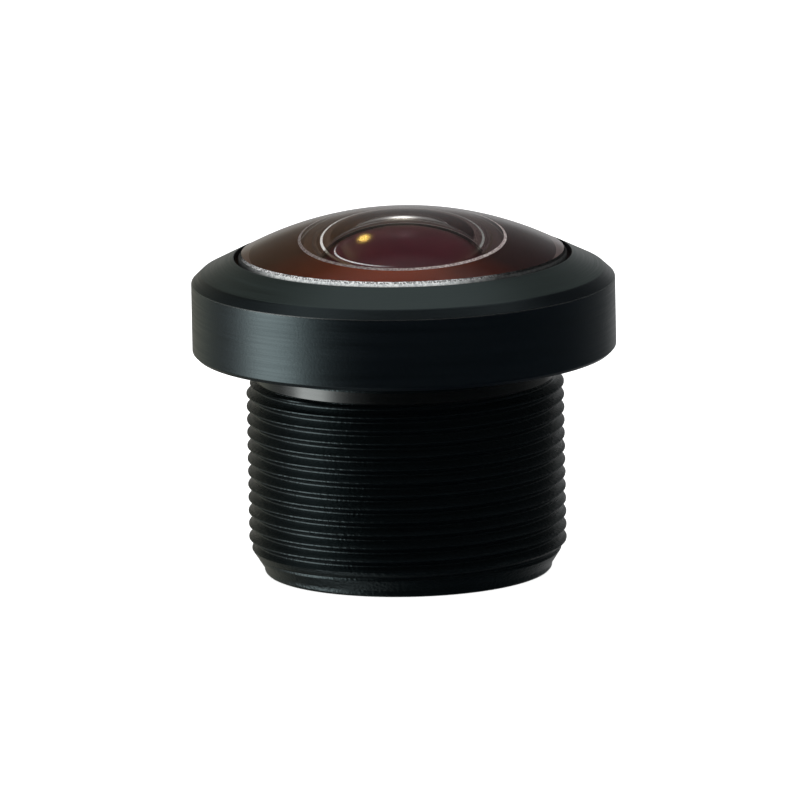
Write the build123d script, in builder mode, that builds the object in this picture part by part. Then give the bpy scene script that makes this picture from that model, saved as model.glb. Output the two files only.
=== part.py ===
from build123d import *
from math import ceil, radians, sqrt, tan
import os

# A board-mount fisheye lens, in millimetres.
# Z = 0 is the rear end face, and +Z is the optical axis, towards the scene.

# Mounting thread, M12 x 0.5, cut on the outside of the barrel
mount_crest_radius = 6.0
mount_pitch = 0.5
mount_turn_angle = 130.0        # where the last turn runs out, seen from the front
mount_relief_depth = 0.38
mount_relief_length = 0.7
rear_land_length = 0.25
rear_chamfer_length = 0.85
rear_chamfer_drop = 0.55        # from the thread's crest in to the plain land at the rear end

# Fine threads of the front cap ring and of the rear retaining ring
fine_pitch = 0.35
cap_thread_step = 0.35          # from the plain collar out to the crest of the thread below it
cap_thread_length = 1.6
ring_thread_step = 0.3          # from the group bore out to the crest of the ring's thread

# Barrel inside and front
shoulder_to_seat = 2.5          # from the seating face down to the underside of the flange
front_bore_radius = 5.2
group_bore_radius = 4.3
shelf_thickness = 0.8

# Front cap ring
cap_wall = 0.75                 # from the crest of its thread out to the plain cylinder
cap_lip_height = 0.75
cap_edge_inset = 0.36
cap_cone_drop = 0.63
cap_edge_drop = 0.34
cap_foot_chamfer = 0.15

# Front element
dome_curve = 13.1
dome_radius = 5.98
dome_bevel = 0.22
dome_wall_height = 0.78
dome_flange_width = 0.65
dome_flange_thickness = 0.39
hollow_curve = 4.1
hollow_radius = 3.3
hollow_bevel = 0.11

# Seals and shims
o_ring_cord = 0.5
slip_washer_thickness = 0.06
front_washer_width = 0.38

# Second element, behind the front one, with the ring that spaces them
front_spacer_thickness = 0.82
second_flange_thickness = 0.58
second_front_curve = 6.5
second_front_radius = 4.0
second_back_curve = 3.2
second_back_radius = 2.5
baffle_thickness = 0.1
baffle_margin = 0.12            # from the second element's hollow out to the baffle's hole

# Third and fourth elements, in the front part of the group bore
third_flange_thickness = 1.5
third_front_curve = 20.0
third_front_radius = 3.6
third_back_curve = 4.5
third_back_radius = 2.3
middle_spacer_thickness = 0.6
fourth_flange_thickness = 0.6
fourth_front_curve = 6.0
fourth_back_curve = 7.0
fourth_face_radius = 3.0

# Aperture stop, cemented pair and last element, loaded from the rear
stop_thickness = 0.1
stop_hole_radius = 0.9
stop_spacer_thickness = 1.08
fifth_flange_thickness = 0.5
fifth_front_curve = 5.5
fifth_front_radius = 2.9
cement_curve = 5.5
cement_radius = 3.0
cement_thickness = 0.01
sixth_flange_thickness = 1.0
sixth_back_curve = 14.0
sixth_back_radius = 3.4
rear_spacer_thickness = 0.8
seventh_flange_thickness = 0.5
seventh_front_curve = 30.0
seventh_front_radius = 3.4
seventh_back_curve = 20.0
seventh_back_radius = 3.3
filter_spacer_thickness = 0.4
filter_thickness = 0.3

# Rear retaining ring
ring_recess = 0.15
ring_height = 1.0
ring_front_wall = 1.1           # the hole is a cone, so the wall is thick in front and thin behind
ring_rear_wall = 0.7
spanner_slot_width = 0.8
spanner_slot_depth = 0.4

# Clearances
opening_clearance = 0.18        # between the front element's wall and the cap ring's opening
flange_clearance = 0.1          # between the front element's flange and the cap ring's bore
collar_clearance = 0.05         # between the barrel's collar and the cap ring's bore
front_washer_clearance = 0.04   # keeps the front washer out of sight behind the opening
rear_washer_margin = 0.1        # keeps the rear washer out of the light
rear_washer_clearance = 0.03    # between the rear washer and the edge of the filter
shelf_margin = 0.3              # between a polished face and the shelf's hole
front_spacer_margin = 0.15      # between a polished face and the hole of its spacer
middle_spacer_margin = 0.2
stop_spacer_margin = 0.1
rear_spacer_margin = 0.05
filter_spacer_margin = 0.1
element_clearance = 0.02        # between a glass or spacer edge and its bore
seal_clearance = 0.005          # between the seal's cord and each wall of its corner
seat_clearance = 0.01           # keeps the front spacer just below the front seat
thread_clearance = 0.04         # radial, between a thread's crest and its partner's root
flank_clearance = 0.02          # axial, on each flank of a thread

# Form of the threads
flank_slope = tan(radians(30))
external_depth = 0.6134         # of the pitch, crest to root
external_root_width = 1 / 6     # of the pitch
external_crest_width = 1 / 8    # of the pitch
internal_depth = 0.4            # of the pitch, from the partner's crest inwards
cutter_margin = 0.02            # how far a cutter reaches past the crest
relief_margin = 0.05            # how much deeper a relief is than the root of its thread


def sag(curve, radius):
    """Height of a spherical cap of this curve and edge radius."""
    return curve - sqrt(curve**2 - radius**2)


def face_arc(curve, radius, edge_height, bulge):
    """Arc of a polished face, from the axis to its edge; bulge is 1 up, -1 down."""
    vertex = edge_height + bulge * sag(curve, radius)
    middle = (radius / 2, vertex - bulge * sag(curve, radius / 2))
    return ThreePointArc((0, vertex), middle, (radius, edge_height))


def element_section(rim, bottom, top, front, back):
    """Half section of a glass element; front and back are (curve, edge radius, bulge)."""
    with BuildSketch() as section:
        with BuildLine():
            front_face = face_arc(*front[:2], top, front[2])
            back_face = face_arc(*back[:2], bottom, back[2])
            Polyline(front_face @ 1, (rim, top), (rim, bottom), back_face @ 1)
            Line(back_face @ 0, front_face @ 0)
        make_face()
    return section.sketch


def ring_section(inner, outer, bottom, top):
    """Half section of a plain ring."""
    with BuildSketch() as section:
        with BuildLine():
            Polyline((inner, bottom), (outer, bottom), (outer, top), (inner, top), close=True)
        make_face()
    return section.sketch


def groove_turn(pitch, narrow_radius, narrow_width, wide_radius):
    """One turn of a thread groove, rising from Z = 0 on the +X side."""
    reach = wide_radius - narrow_radius
    narrow = narrow_width / 2
    wide = narrow + abs(reach) * flank_slope
    with BuildPart() as turn:
        with BuildLine() as path:
            Helix(pitch, pitch, narrow_radius)
        with BuildSketch(Plane(origin=path.line @ 0, x_dir=(1, 0, 0), z_dir=path.line % 0)):
            with BuildLine():
                Polyline((0, -narrow), (reach, -wide), (reach, wide), (0, narrow), close=True)
            make_face()
        sweep(path=path.line, is_frenet=True)
    return turn.part


def external_turn(pitch, crest):
    """Groove of a thread on a shaft."""
    root = crest - external_depth * pitch
    return groove_turn(pitch, root, external_root_width * pitch, crest + cutter_margin)


def internal_turn(pitch, crest):
    """Groove in a hole that takes the thread of a shaft with this crest radius."""
    width = external_crest_width * pitch + 2 * flank_clearance
    wide_radius = crest - internal_depth * pitch - cutter_margin
    return groove_turn(pitch, crest + thread_clearance, width, wide_radius)


def turn_heights(pitch, last_end, lowest):
    """Start height of each turn, from the run-out down past the lowest threaded point."""
    count = ceil((last_end - lowest) / pitch) + 1
    return [(0, 0, last_end - pitch * turn) for turn in range(1, count + 1)]


# Heights, worked up from the rear end face
ring_top = ring_recess + ring_height
filter_bottom = ring_top + slip_washer_thickness
filter_top = filter_bottom + filter_thickness
seventh_bottom = filter_top + filter_spacer_thickness
seventh_top = seventh_bottom + seventh_flange_thickness
sixth_bottom = seventh_top + rear_spacer_thickness
sixth_top = sixth_bottom + sixth_flange_thickness
fifth_bottom = sixth_top + cement_thickness
fifth_top = fifth_bottom + fifth_flange_thickness
stop_bottom = fifth_top + stop_spacer_thickness
shelf_bottom = stop_bottom + stop_thickness
shelf_top = shelf_bottom + shelf_thickness
fourth_top = shelf_top + fourth_flange_thickness
third_bottom = fourth_top + middle_spacer_thickness
front_shelf = third_bottom + third_flange_thickness
second_bottom = front_shelf + baffle_thickness
second_top = second_bottom + second_flange_thickness
front_seat = second_top + front_spacer_thickness + seat_clearance

# Heights of the head, from the seat of the front element
shoulder = front_seat - shoulder_to_seat
mount_thread_top = shoulder - mount_relief_length
mount_run_out = shoulder - mount_relief_length / 2
cap_thread_top = shoulder + cap_thread_length
dome_flange_top = front_seat + dome_flange_thickness
lip_bottom = dome_flange_top + slip_washer_thickness
cap_opening_height = lip_bottom + cap_lip_height
cap_cone_bottom = cap_opening_height - cap_cone_drop
cap_cylinder_top = cap_cone_bottom - cap_edge_drop
dome_bevel_bottom = dome_flange_top + dome_wall_height
dome_edge_height = dome_bevel_bottom + dome_bevel

# Radii of the head, worked out from the front element's polished dome
dome_wall_radius = dome_radius + dome_bevel
dome_flange_radius = dome_wall_radius + dome_flange_width
cap_opening_radius = dome_wall_radius + opening_clearance
cap_bore_radius = dome_flange_radius + flange_clearance
front_washer_inner_radius = cap_opening_radius + front_washer_clearance
front_washer_outer_radius = front_washer_inner_radius + front_washer_width
collar_radius = cap_bore_radius - collar_clearance
cap_thread_crest_radius = collar_radius + cap_thread_step
cap_thread_hole_radius = cap_thread_crest_radius - internal_depth * fine_pitch
cap_relief_radius = cap_thread_crest_radius + thread_clearance + relief_margin
cap_radius = cap_thread_crest_radius + cap_wall
cap_cone_outer_radius = cap_radius - cap_edge_inset

# The seal lies in the corner under the front element's flange
seal_corner = o_ring_cord + 2 * seal_clearance
seal_radius = cap_bore_radius - seal_corner / 2
seal_height = front_seat - seal_corner / 2

# Radii of the mounting thread's ends
mount_relief_radius = mount_crest_radius - mount_relief_depth
rear_land_radius = mount_crest_radius - rear_chamfer_drop

# Radii that follow from the bores
element_radius = group_bore_radius - element_clearance
second_rim_radius = front_bore_radius - element_clearance
ring_thread_crest_radius = group_bore_radius + ring_thread_step
ring_thread_hole_radius = ring_thread_crest_radius - internal_depth * fine_pitch
ring_relief_radius = ring_thread_crest_radius + thread_clearance + relief_margin
ring_front_hole_radius = ring_thread_crest_radius - ring_front_wall
ring_rear_hole_radius = ring_thread_crest_radius - ring_rear_wall
rear_washer_inner_radius = ring_front_hole_radius + rear_washer_margin
rear_washer_outer_radius = element_radius - rear_washer_clearance

# Holes that a polished face looks through or stands in
shelf_hole_radius = fourth_face_radius + shelf_margin
front_spacer_inner_radius = second_front_radius + front_spacer_margin
baffle_hole_radius = second_back_radius + baffle_margin
middle_spacer_inner_radius = fourth_face_radius + middle_spacer_margin
stop_spacer_inner_radius = fifth_front_radius + stop_spacer_margin
rear_spacer_inner_radius = max(sixth_back_radius, seventh_front_radius) + rear_spacer_margin
filter_spacer_inner_radius = seventh_back_radius + filter_spacer_margin

# A thread's run-out lies in the middle of a relief groove one pitch long
cap_relief_bottom = cap_thread_top - fine_pitch / 2
cap_relief_top = cap_relief_bottom + fine_pitch
cap_run_out = cap_relief_bottom + fine_pitch / 2
ring_relief_bottom = ring_top
ring_relief_top = ring_relief_bottom + fine_pitch
ring_run_out = ring_relief_bottom + fine_pitch / 2

mount_turn = external_turn(mount_pitch, mount_crest_radius).rotate(Axis.Z, mount_turn_angle)
cap_outer_turn = internal_turn(fine_pitch, cap_thread_crest_radius)
cap_inner_turn = external_turn(fine_pitch, cap_thread_crest_radius)
ring_outer_turn = internal_turn(fine_pitch, ring_thread_crest_radius)
ring_inner_turn = external_turn(fine_pitch, ring_thread_crest_radius)

# A thread and its hole are half a pitch apart, so that tooth meets groove
cap_screw_run_out = cap_run_out + fine_pitch / 2
ring_screw_run_out = ring_run_out + fine_pitch / 2

# Barrel: turned metal tube with the mounting thread, the flange and both bores
with BuildPart() as barrel:
    with BuildSketch(Plane.XZ):
        with BuildLine():
            Polyline(
                (ring_thread_hole_radius, 0),
                (rear_land_radius, 0),
                (rear_land_radius, rear_land_length),
                (mount_crest_radius, rear_land_length + rear_chamfer_length),
                (mount_crest_radius, mount_thread_top),
                (mount_relief_radius, mount_thread_top),
                (mount_relief_radius, shoulder),
                (cap_thread_crest_radius, shoulder),
                (cap_thread_crest_radius, cap_thread_top),
                (collar_radius, cap_thread_top),
                (collar_radius, front_seat - seal_corner),
                (cap_bore_radius - seal_corner, front_seat - seal_corner),
                (cap_bore_radius - seal_corner, front_seat),
                (front_bore_radius, front_seat),
                (front_bore_radius, front_shelf),
                (group_bore_radius, front_shelf),
                (group_bore_radius, shelf_top),
                (shelf_hole_radius, shelf_top),
                (shelf_hole_radius, shelf_bottom),
                (group_bore_radius, shelf_bottom),
                (group_bore_radius, ring_relief_top),
                (ring_relief_radius, ring_relief_top),
                (ring_relief_radius, ring_relief_bottom),
                (ring_thread_hole_radius, ring_relief_bottom),
                close=True,
            )
        make_face()
    revolve(axis=Axis.Z)
    with Locations(*turn_heights(mount_pitch, mount_run_out, 0)):
        add(mount_turn, mode=Mode.SUBTRACT)
    with Locations(*turn_heights(fine_pitch, cap_screw_run_out, shoulder)):
        add(cap_inner_turn, mode=Mode.SUBTRACT)
    with Locations(*turn_heights(fine_pitch, ring_run_out, 0)):
        add(ring_outer_turn, mode=Mode.SUBTRACT)

# Front cap ring: the wide head, which screws over the barrel and holds the front element
with BuildPart() as front_cap_ring:
    with BuildSketch(Plane.XZ):
        with BuildLine():
            Polyline(
                (cap_thread_hole_radius, shoulder),
                (cap_radius - cap_foot_chamfer, shoulder),
                (cap_radius, shoulder + cap_foot_chamfer),
                (cap_radius, cap_cylinder_top),
                (cap_cone_outer_radius, cap_cone_bottom),
                (cap_opening_radius, cap_opening_height),
                (cap_opening_radius, lip_bottom),
                (cap_bore_radius, lip_bottom),
                (cap_bore_radius, cap_relief_top),
                (cap_relief_radius, cap_relief_top),
                (cap_relief_radius, cap_relief_bottom),
                (cap_thread_hole_radius, cap_relief_bottom),
                close=True,
            )
        make_face()
    revolve(axis=Axis.Z)
    with Locations(*turn_heights(fine_pitch, cap_run_out, shoulder)):
        add(cap_outer_turn, mode=Mode.SUBTRACT)

# Front slip washer: film ring that lets the cap ring turn on the glass
with BuildPart() as front_slip_washer:
    with BuildSketch(Plane.XZ):
        add(ring_section(front_washer_inner_radius, front_washer_outer_radius, dome_flange_top, lip_bottom))
    revolve(axis=Axis.Z)

# Front element: domed meniscus with a ground bevel, a flange and a deep hollow behind
with BuildPart() as front_element:
    with BuildSketch(Plane.XZ):
        with BuildLine():
            dome = face_arc(dome_curve, dome_radius, dome_edge_height, 1)
            hollow = face_arc(hollow_curve, hollow_radius, front_seat + hollow_bevel, 1)
            Polyline(
                dome @ 1,
                (dome_wall_radius, dome_bevel_bottom),
                (dome_wall_radius, dome_flange_top),
                (dome_flange_radius, dome_flange_top),
                (dome_flange_radius, front_seat),
                (hollow_radius + hollow_bevel, front_seat),
                hollow @ 1,
            )
            Line(hollow @ 0, dome @ 0)
        make_face()
    revolve(axis=Axis.Z)

# Seal: round cord between the flange, the barrel's corner and the cap ring's bore
with BuildPart() as front_o_ring:
    with BuildSketch(Plane.XZ):
        with Locations((seal_radius, seal_height)):
            Circle(o_ring_cord / 2)
    revolve(axis=Axis.Z)

# Front spacer: black ring between the first two elements
with BuildPart() as front_spacer:
    with BuildSketch(Plane.XZ):
        front_spacer_top = front_seat - seat_clearance
        add(ring_section(front_spacer_inner_radius, second_rim_radius, second_top, front_spacer_top))
    revolve(axis=Axis.Z)

# Second element: steep meniscus
with BuildPart() as second_element:
    with BuildSketch(Plane.XZ):
        add(
            element_section(
                second_rim_radius,
                second_bottom,
                second_top,
                (second_front_curve, second_front_radius, 1),
                (second_back_curve, second_back_radius, 1),
            )
        )
    revolve(axis=Axis.Z)

# Light baffle: thin black ring that stops stray light behind the second element
with BuildPart() as light_baffle:
    with BuildSketch(Plane.XZ):
        add(ring_section(baffle_hole_radius, second_rim_radius, front_shelf, second_bottom))
    revolve(axis=Axis.Z)

# Third element: hollow on both faces
with BuildPart() as third_element:
    with BuildSketch(Plane.XZ):
        add(
            element_section(
                element_radius,
                third_bottom,
                front_shelf,
                (third_front_curve, third_front_radius, -1),
                (third_back_curve, third_back_radius, 1),
            )
        )
    revolve(axis=Axis.Z)

# Middle spacer
with BuildPart() as middle_spacer:
    with BuildSketch(Plane.XZ):
        add(ring_section(middle_spacer_inner_radius, element_radius, fourth_top, third_bottom))
    revolve(axis=Axis.Z)

# Fourth element: thick glass, domed on both faces, on the barrel's inner shelf
with BuildPart() as fourth_element:
    with BuildSketch(Plane.XZ):
        add(
            element_section(
                element_radius,
                shelf_top,
                fourth_top,
                (fourth_front_curve, fourth_face_radius, 1),
                (fourth_back_curve, fourth_face_radius, -1),
            )
        )
    revolve(axis=Axis.Z)

# Aperture stop: thin black disc with the small hole that sets the brightness
with BuildPart() as aperture_stop:
    with BuildSketch(Plane.XZ):
        add(ring_section(stop_hole_radius, element_radius, stop_bottom, shelf_bottom))
    revolve(axis=Axis.Z)

# Stop spacer
with BuildPart() as stop_spacer:
    with BuildSketch(Plane.XZ):
        add(ring_section(stop_spacer_inner_radius, element_radius, fifth_top, stop_bottom))
    revolve(axis=Axis.Z)

# Fifth element: front half of the cemented pair
with BuildPart() as fifth_element:
    with BuildSketch(Plane.XZ):
        add(
            element_section(
                element_radius,
                fifth_bottom,
                fifth_top,
                (fifth_front_curve, fifth_front_radius, 1),
                (cement_curve, cement_radius, -1),
            )
        )
    revolve(axis=Axis.Z)

# Sixth element: rear half of the pair, a film of cement away
with BuildPart() as sixth_element:
    with BuildSketch(Plane.XZ):
        add(
            element_section(
                element_radius,
                sixth_bottom,
                sixth_top,
                (cement_curve + cement_thickness, cement_radius, -1),
                (sixth_back_curve, sixth_back_radius, -1),
            )
        )
    revolve(axis=Axis.Z)

# Rear spacer
with BuildPart() as rear_spacer:
    with BuildSketch(Plane.XZ):
        add(ring_section(rear_spacer_inner_radius, element_radius, seventh_top, sixth_bottom))
    revolve(axis=Axis.Z)

# Seventh element: thin corrector before the filter
with BuildPart() as seventh_element:
    with BuildSketch(Plane.XZ):
        add(
            element_section(
                element_radius,
                seventh_bottom,
                seventh_top,
                (seventh_front_curve, seventh_front_radius, 1),
                (seventh_back_curve, seventh_back_radius, 1),
            )
        )
    revolve(axis=Axis.Z)

# Filter spacer
with BuildPart() as filter_spacer:
    with BuildSketch(Plane.XZ):
        add(ring_section(filter_spacer_inner_radius, element_radius, filter_top, seventh_bottom))
    revolve(axis=Axis.Z)

# Infrared filter: flat coated glass disc
with BuildPart() as infrared_filter:
    with BuildSketch(Plane.XY.offset(filter_bottom)):
        Circle(element_radius)
    extrude(amount=filter_thickness)

# Rear slip washer: film ring between the filter and the retaining ring
with BuildPart() as rear_slip_washer:
    with BuildSketch(Plane.XZ):
        add(ring_section(rear_washer_inner_radius, rear_washer_outer_radius, ring_top, filter_bottom))
    revolve(axis=Axis.Z)

# Rear retaining ring: threaded, with two slots for a pin spanner
with BuildPart() as rear_retaining_ring:
    with BuildSketch(Plane.XZ):
        with BuildLine():
            Polyline(
                (ring_rear_hole_radius, ring_recess),
                (ring_thread_crest_radius, ring_recess),
                (ring_thread_crest_radius, ring_top),
                (ring_front_hole_radius, ring_top),
                close=True,
            )
        make_face()
    revolve(axis=Axis.Z)
    with Locations(*turn_heights(fine_pitch, ring_screw_run_out, ring_recess)):
        add(ring_inner_turn, mode=Mode.SUBTRACT)
    with BuildSketch(Plane.XY.offset(ring_recess)):
        Rectangle(2 * ring_relief_radius, spanner_slot_width)
    extrude(amount=spanner_slot_depth, mode=Mode.SUBTRACT)

sub_parts = {
    "barrel": barrel,
    "front_cap_ring": front_cap_ring,
    "front_slip_washer": front_slip_washer,
    "front_element": front_element,
    "front_o_ring": front_o_ring,
    "front_spacer": front_spacer,
    "second_element": second_element,
    "light_baffle": light_baffle,
    "third_element": third_element,
    "middle_spacer": middle_spacer,
    "fourth_element": fourth_element,
    "aperture_stop": aperture_stop,
    "stop_spacer": stop_spacer,
    "fifth_element": fifth_element,
    "sixth_element": sixth_element,
    "rear_spacer": rear_spacer,
    "seventh_element": seventh_element,
    "filter_spacer": filter_spacer,
    "infrared_filter": infrared_filter,
    "rear_slip_washer": rear_slip_washer,
    "rear_retaining_ring": rear_retaining_ring,
}

os.makedirs("parts", exist_ok=True)
for name, sub_part in sub_parts.items():
    sub_part.part.label = name
    export_step(sub_part.part, f"parts/{name}.step")
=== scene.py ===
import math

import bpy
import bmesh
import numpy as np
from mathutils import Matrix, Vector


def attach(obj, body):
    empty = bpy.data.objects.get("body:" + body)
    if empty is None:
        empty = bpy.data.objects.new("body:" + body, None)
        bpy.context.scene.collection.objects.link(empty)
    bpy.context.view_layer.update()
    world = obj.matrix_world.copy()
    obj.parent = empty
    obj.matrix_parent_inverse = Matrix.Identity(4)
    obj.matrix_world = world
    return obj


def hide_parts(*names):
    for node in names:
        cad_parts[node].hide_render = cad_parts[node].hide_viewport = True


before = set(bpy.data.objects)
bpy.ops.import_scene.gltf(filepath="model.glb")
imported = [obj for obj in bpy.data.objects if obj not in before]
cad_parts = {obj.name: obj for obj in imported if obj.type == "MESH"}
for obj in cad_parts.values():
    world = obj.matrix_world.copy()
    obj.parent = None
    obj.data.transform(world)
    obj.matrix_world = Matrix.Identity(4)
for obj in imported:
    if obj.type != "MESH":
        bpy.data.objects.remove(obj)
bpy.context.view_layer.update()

# %% [markdown]
# A board-mount fisheye lens, dressed for a product picture
#
# The lens is a small black barrel with a fine thread, a wide screwed head and a domed front glass. The
# imported CAD part is already loaded as the frame: each of its nodes stands where its piece belongs and
# moves with its body. The finer meshes made here stand in the same places and repeat the part's sizes,
# given in millimetres and built in metres.

MM = 0.001

# %% [markdown]
# The camera
#
# The photograph looks down on the lens by about eleven degrees with a long lens, so the
# rings are flat ellipses and the sides hardly converge. The picture also leans by one
# degree. A camera could be placed by eye, but here its place is worked out: the point that
# lies in the middle of the picture is known, close to the lens's axis, and the camera backs
# away from it along the line of sight, then turns by the lean about that line.

# %% Place the camera
LOOK_DOWN = math.radians(11.42)
LEAN = math.radians(1.106)
CAMERA_DISTANCE = 1200 * MM
PICTURE_PIXELS, PIXELS_PER_MM = 800, 26.5
PICTURE_WIDTH = PICTURE_PIXELS / PIXELS_PER_MM * MM   # what the picture covers at the lens's axis
SENSOR_WIDTH = 36
CLIP_NEAR, CLIP_FAR = 0.01, 10            # metres
LOOK_AT = Vector((-0.204, 0, 6.491)) * MM


def camera_turn(look_down, lean):
    """Camera axes as a rotation: X to the picture's right, Y up, Z back to the camera."""
    back = Vector((0, -math.cos(look_down), math.sin(look_down)))
    level = Vector((1, 0, 0))
    upright = back.cross(level)
    right = level * math.cos(lean) - upright * math.sin(lean)
    up = level * math.sin(lean) + upright * math.cos(lean)
    return Matrix((right, up, back)).transposed(), back


camera_data = bpy.data.cameras.new("picture_camera")
camera = bpy.data.objects.new("picture_camera", camera_data)
bpy.context.scene.collection.objects.link(camera)
turn, back = camera_turn(LOOK_DOWN, LEAN)
camera.matrix_world = Matrix.Translation(LOOK_AT + back * CAMERA_DISTANCE) @ turn.to_4x4()
camera_data.sensor_width = SENSOR_WIDTH
camera_data.lens = SENSOR_WIDTH * CAMERA_DISTANCE / PICTURE_WIDTH
camera_data.clip_start = CLIP_NEAR
camera_data.clip_end = CLIP_FAR
bpy.context.scene.camera = camera
print("camera lens in mm:", round(camera_data.lens, 1))

# %% [markdown]
# Colour management
#
# The picture's blacks are deep and its background is clean white, as in a catalogue. A
# filmic view would lift the blacks and grey the white, so the plain Standard view is used.

# %% Set the view
settings = bpy.context.scene.view_settings
settings.view_transform = "Standard"
settings.look = "None"
settings.exposure = 0
settings.gamma = 1
print("view:", settings.view_transform)

# %% [markdown]
# A helper for materials
#
# Every finish here is a small tree of nodes. Writing each node and link by hand takes many
# lines, so one helper makes a node, sets its values and joins its inputs in one call. Its
# textures read the place in the piece's own frame, so they move with a piece that moves.

# %% Make a material tree
class Tree:
    """A node tree with short calls: node(kind, inputs, settings). It makes a material, or
    fills the world that it is given."""

    def __init__(self, name, world=None):
        self.owner = world or bpy.data.materials.new(name)
        self.owner.use_nodes = True
        self.nodes = self.owner.node_tree.nodes
        self.links = self.owner.node_tree.links
        self.nodes.clear()

    def node(self, kind, inputs=None, **settings):
        made = self.nodes.new("ShaderNode" + kind)
        for key, value in settings.items():
            setattr(made, key, value)
        for key, value in (inputs or {}).items():
            if isinstance(value, bpy.types.NodeSocket):
                self.links.new(value, made.inputs[key])
            else:
                made.inputs[key].default_value = value
        return made

    def place(self):
        """The point in the piece's own frame, so that a texture moves with its piece."""
        return self.node("TexCoord").outputs["Object"]

    def noise(self, per_mm, detail=2.0, roughness=0.5):
        """Soft noise; per_mm is how many grains a millimetre holds."""
        return self.node(
            "TexNoise", {"Vector": self.place(), "Scale": per_mm / MM, "Detail": detail,
                         "Roughness": roughness}
        ).outputs["Fac"]

    def bump(self, height, depth):
        """A normal that follows a height between 0 and 1; depth is its size in metres."""
        return self.node("Bump", {"Strength": 1.0, "Distance": depth, "Height": height}).outputs[0]

    def math(self, operation, first, second=0.0):
        return self.node("Math", {0: first, 1: second}, operation=operation).outputs[0]

    def vector(self, operation, first, second=(0, 0, 0)):
        """Vector math; for SCALE the second value is a number."""
        slot = "Scale" if operation == "SCALE" else 1
        made = self.node("VectorMath", {0: first, slot: second}, operation=operation)
        return made.outputs["Value" if operation in ("LENGTH", "DISTANCE", "DOT_PRODUCT") else "Vector"]

    def ramp(self, value, stops):
        made = self.node("ValToRGB", {"Fac": value})
        elements = made.color_ramp.elements
        while len(elements) < len(stops):
            elements.new(0.5)
        for element, (place, colour) in zip(elements, stops):
            element.position = place
            element.color = (*colour, 1)
        return made.outputs["Color"]

    def finish(self, surface):
        kind = "World" if isinstance(self.owner, bpy.types.World) else "Material"
        output = self.nodes.new("ShaderNodeOutput" + kind)
        self.links.new(surface, output.inputs["Surface"])
        return self.owner


print("material helper ready")

# %% [markdown]
# Marks that a lathe leaves
#
# A turned surface carries fine rings round its axis. On a cylinder they repeat along the
# height, and on a flat face along the radius. A texture that is long round the axis and
# short across it gives both: the place round the axis is the unit vector from the axis,
# which has no seam, and height and radius are stretched by a large factor.

# %% Turned marks as a texture
def turned_marks(tree, per_mm, round_count, detail=2.0):
    """Noise whose streaks run round the Z axis; per_mm is how many marks a millimetre holds."""
    place = tree.place()
    split = tree.node("SeparateXYZ", {0: place})
    flat = tree.node("CombineXYZ", {"X": split.outputs["X"], "Y": split.outputs["Y"]}).outputs[0]
    radius = tree.vector("LENGTH", flat)
    around = tree.vector("SCALE", tree.vector("NORMALIZE", flat), round_count)
    height = tree.math("MULTIPLY", split.outputs["Z"], per_mm / MM)
    lifted = tree.node("CombineXYZ", {"Z": height}).outputs[0]
    point = tree.vector("ADD", around, lifted)
    return tree.node(
        "TexNoise",
        {"Vector": point, "W": tree.math("MULTIPLY", radius, per_mm / MM), "Scale": 1.0,
         "Detail": detail, "Roughness": 0.6},
        noise_dimensions="4D",
    ).outputs["Fac"]


print("turned marks ready")

# %% [markdown]
# Black anodised metal
#
# The head and the barrel are aluminium with a black anodised skin: hardly any colour of
# its own, a cool soft gloss, and turned marks that spread the light up and down. One even
# black would look like plastic. So the marks go into the bump and into the roughness, the
# gloss is drawn out along the axis, and the grain and the pits of the skin break it up.
# Handling rubs the black off an edge first, so a narrow strip at the head's upper edge has a brighter
# gloss. The neck under the head was cut with a finer tool and is smoother. The cone on top of the head
# has the same skin, but its base colour is made much lighter and greener: painted light, for the light
# from above that it catches.

# %% Anodised finishes
COOL_GLOSS = (0.74, 0.97, 1.0)
GRAIN_PER_MM, PITS_PER_MM = 24, 9


def anodised(name, colour, roughness, marks_per_mm, mark_depth, spread, level=0.5, index=1.5,
             tint=COOL_GLOSS, pits=0.0):
    """mark_depth is in metres. spread says how far the gloss is drawn out along the axis;
    level, index and tint are its strength and colour; pits weighs the pits of the skin."""
    tree = Tree(name)
    # marks of three kinds: fine rings, broad ones for colour and roughness, and short strokes
    fine = turned_marks(tree, marks_per_mm, 2.5, 3.0)
    coarse = turned_marks(tree, marks_per_mm * 0.42, 1.6)
    broken = turned_marks(tree, marks_per_mm * 0.3, 14, 1.0)
    grain = tree.noise(GRAIN_PER_MM)
    pitting = tree.noise(PITS_PER_MM, 1.0)
    height = 0.0
    for layer, weight in ((fine, 0.5), (grain, 0.5), (broken, 0.9), (pitting, pits)):
        height = tree.math("ADD", height, tree.math("MULTIPLY", layer, weight))
    rough = tree.node(
        "MapRange",
        {"Value": coarse, "From Min": 0.3, "From Max": 0.7,
         "To Min": roughness - 0.05, "To Max": roughness + 0.07},
    ).outputs[0]
    tone = tree.ramp(coarse, [(0.3, [c * 0.7 for c in colour]), (0.7, [c * 1.3 for c in colour])])
    shader = tree.node(
        "BsdfPrincipled",
        {"Base Color": tone, "Roughness": rough, "IOR": index, "Specular IOR Level": level,
         "Specular Tint": (*tint, 1), "Anisotropic": spread, "Anisotropic Rotation": 0.25,
         "Normal": tree.bump(height, mark_depth)},
    )
    return tree.finish(shader.outputs[0])


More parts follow.
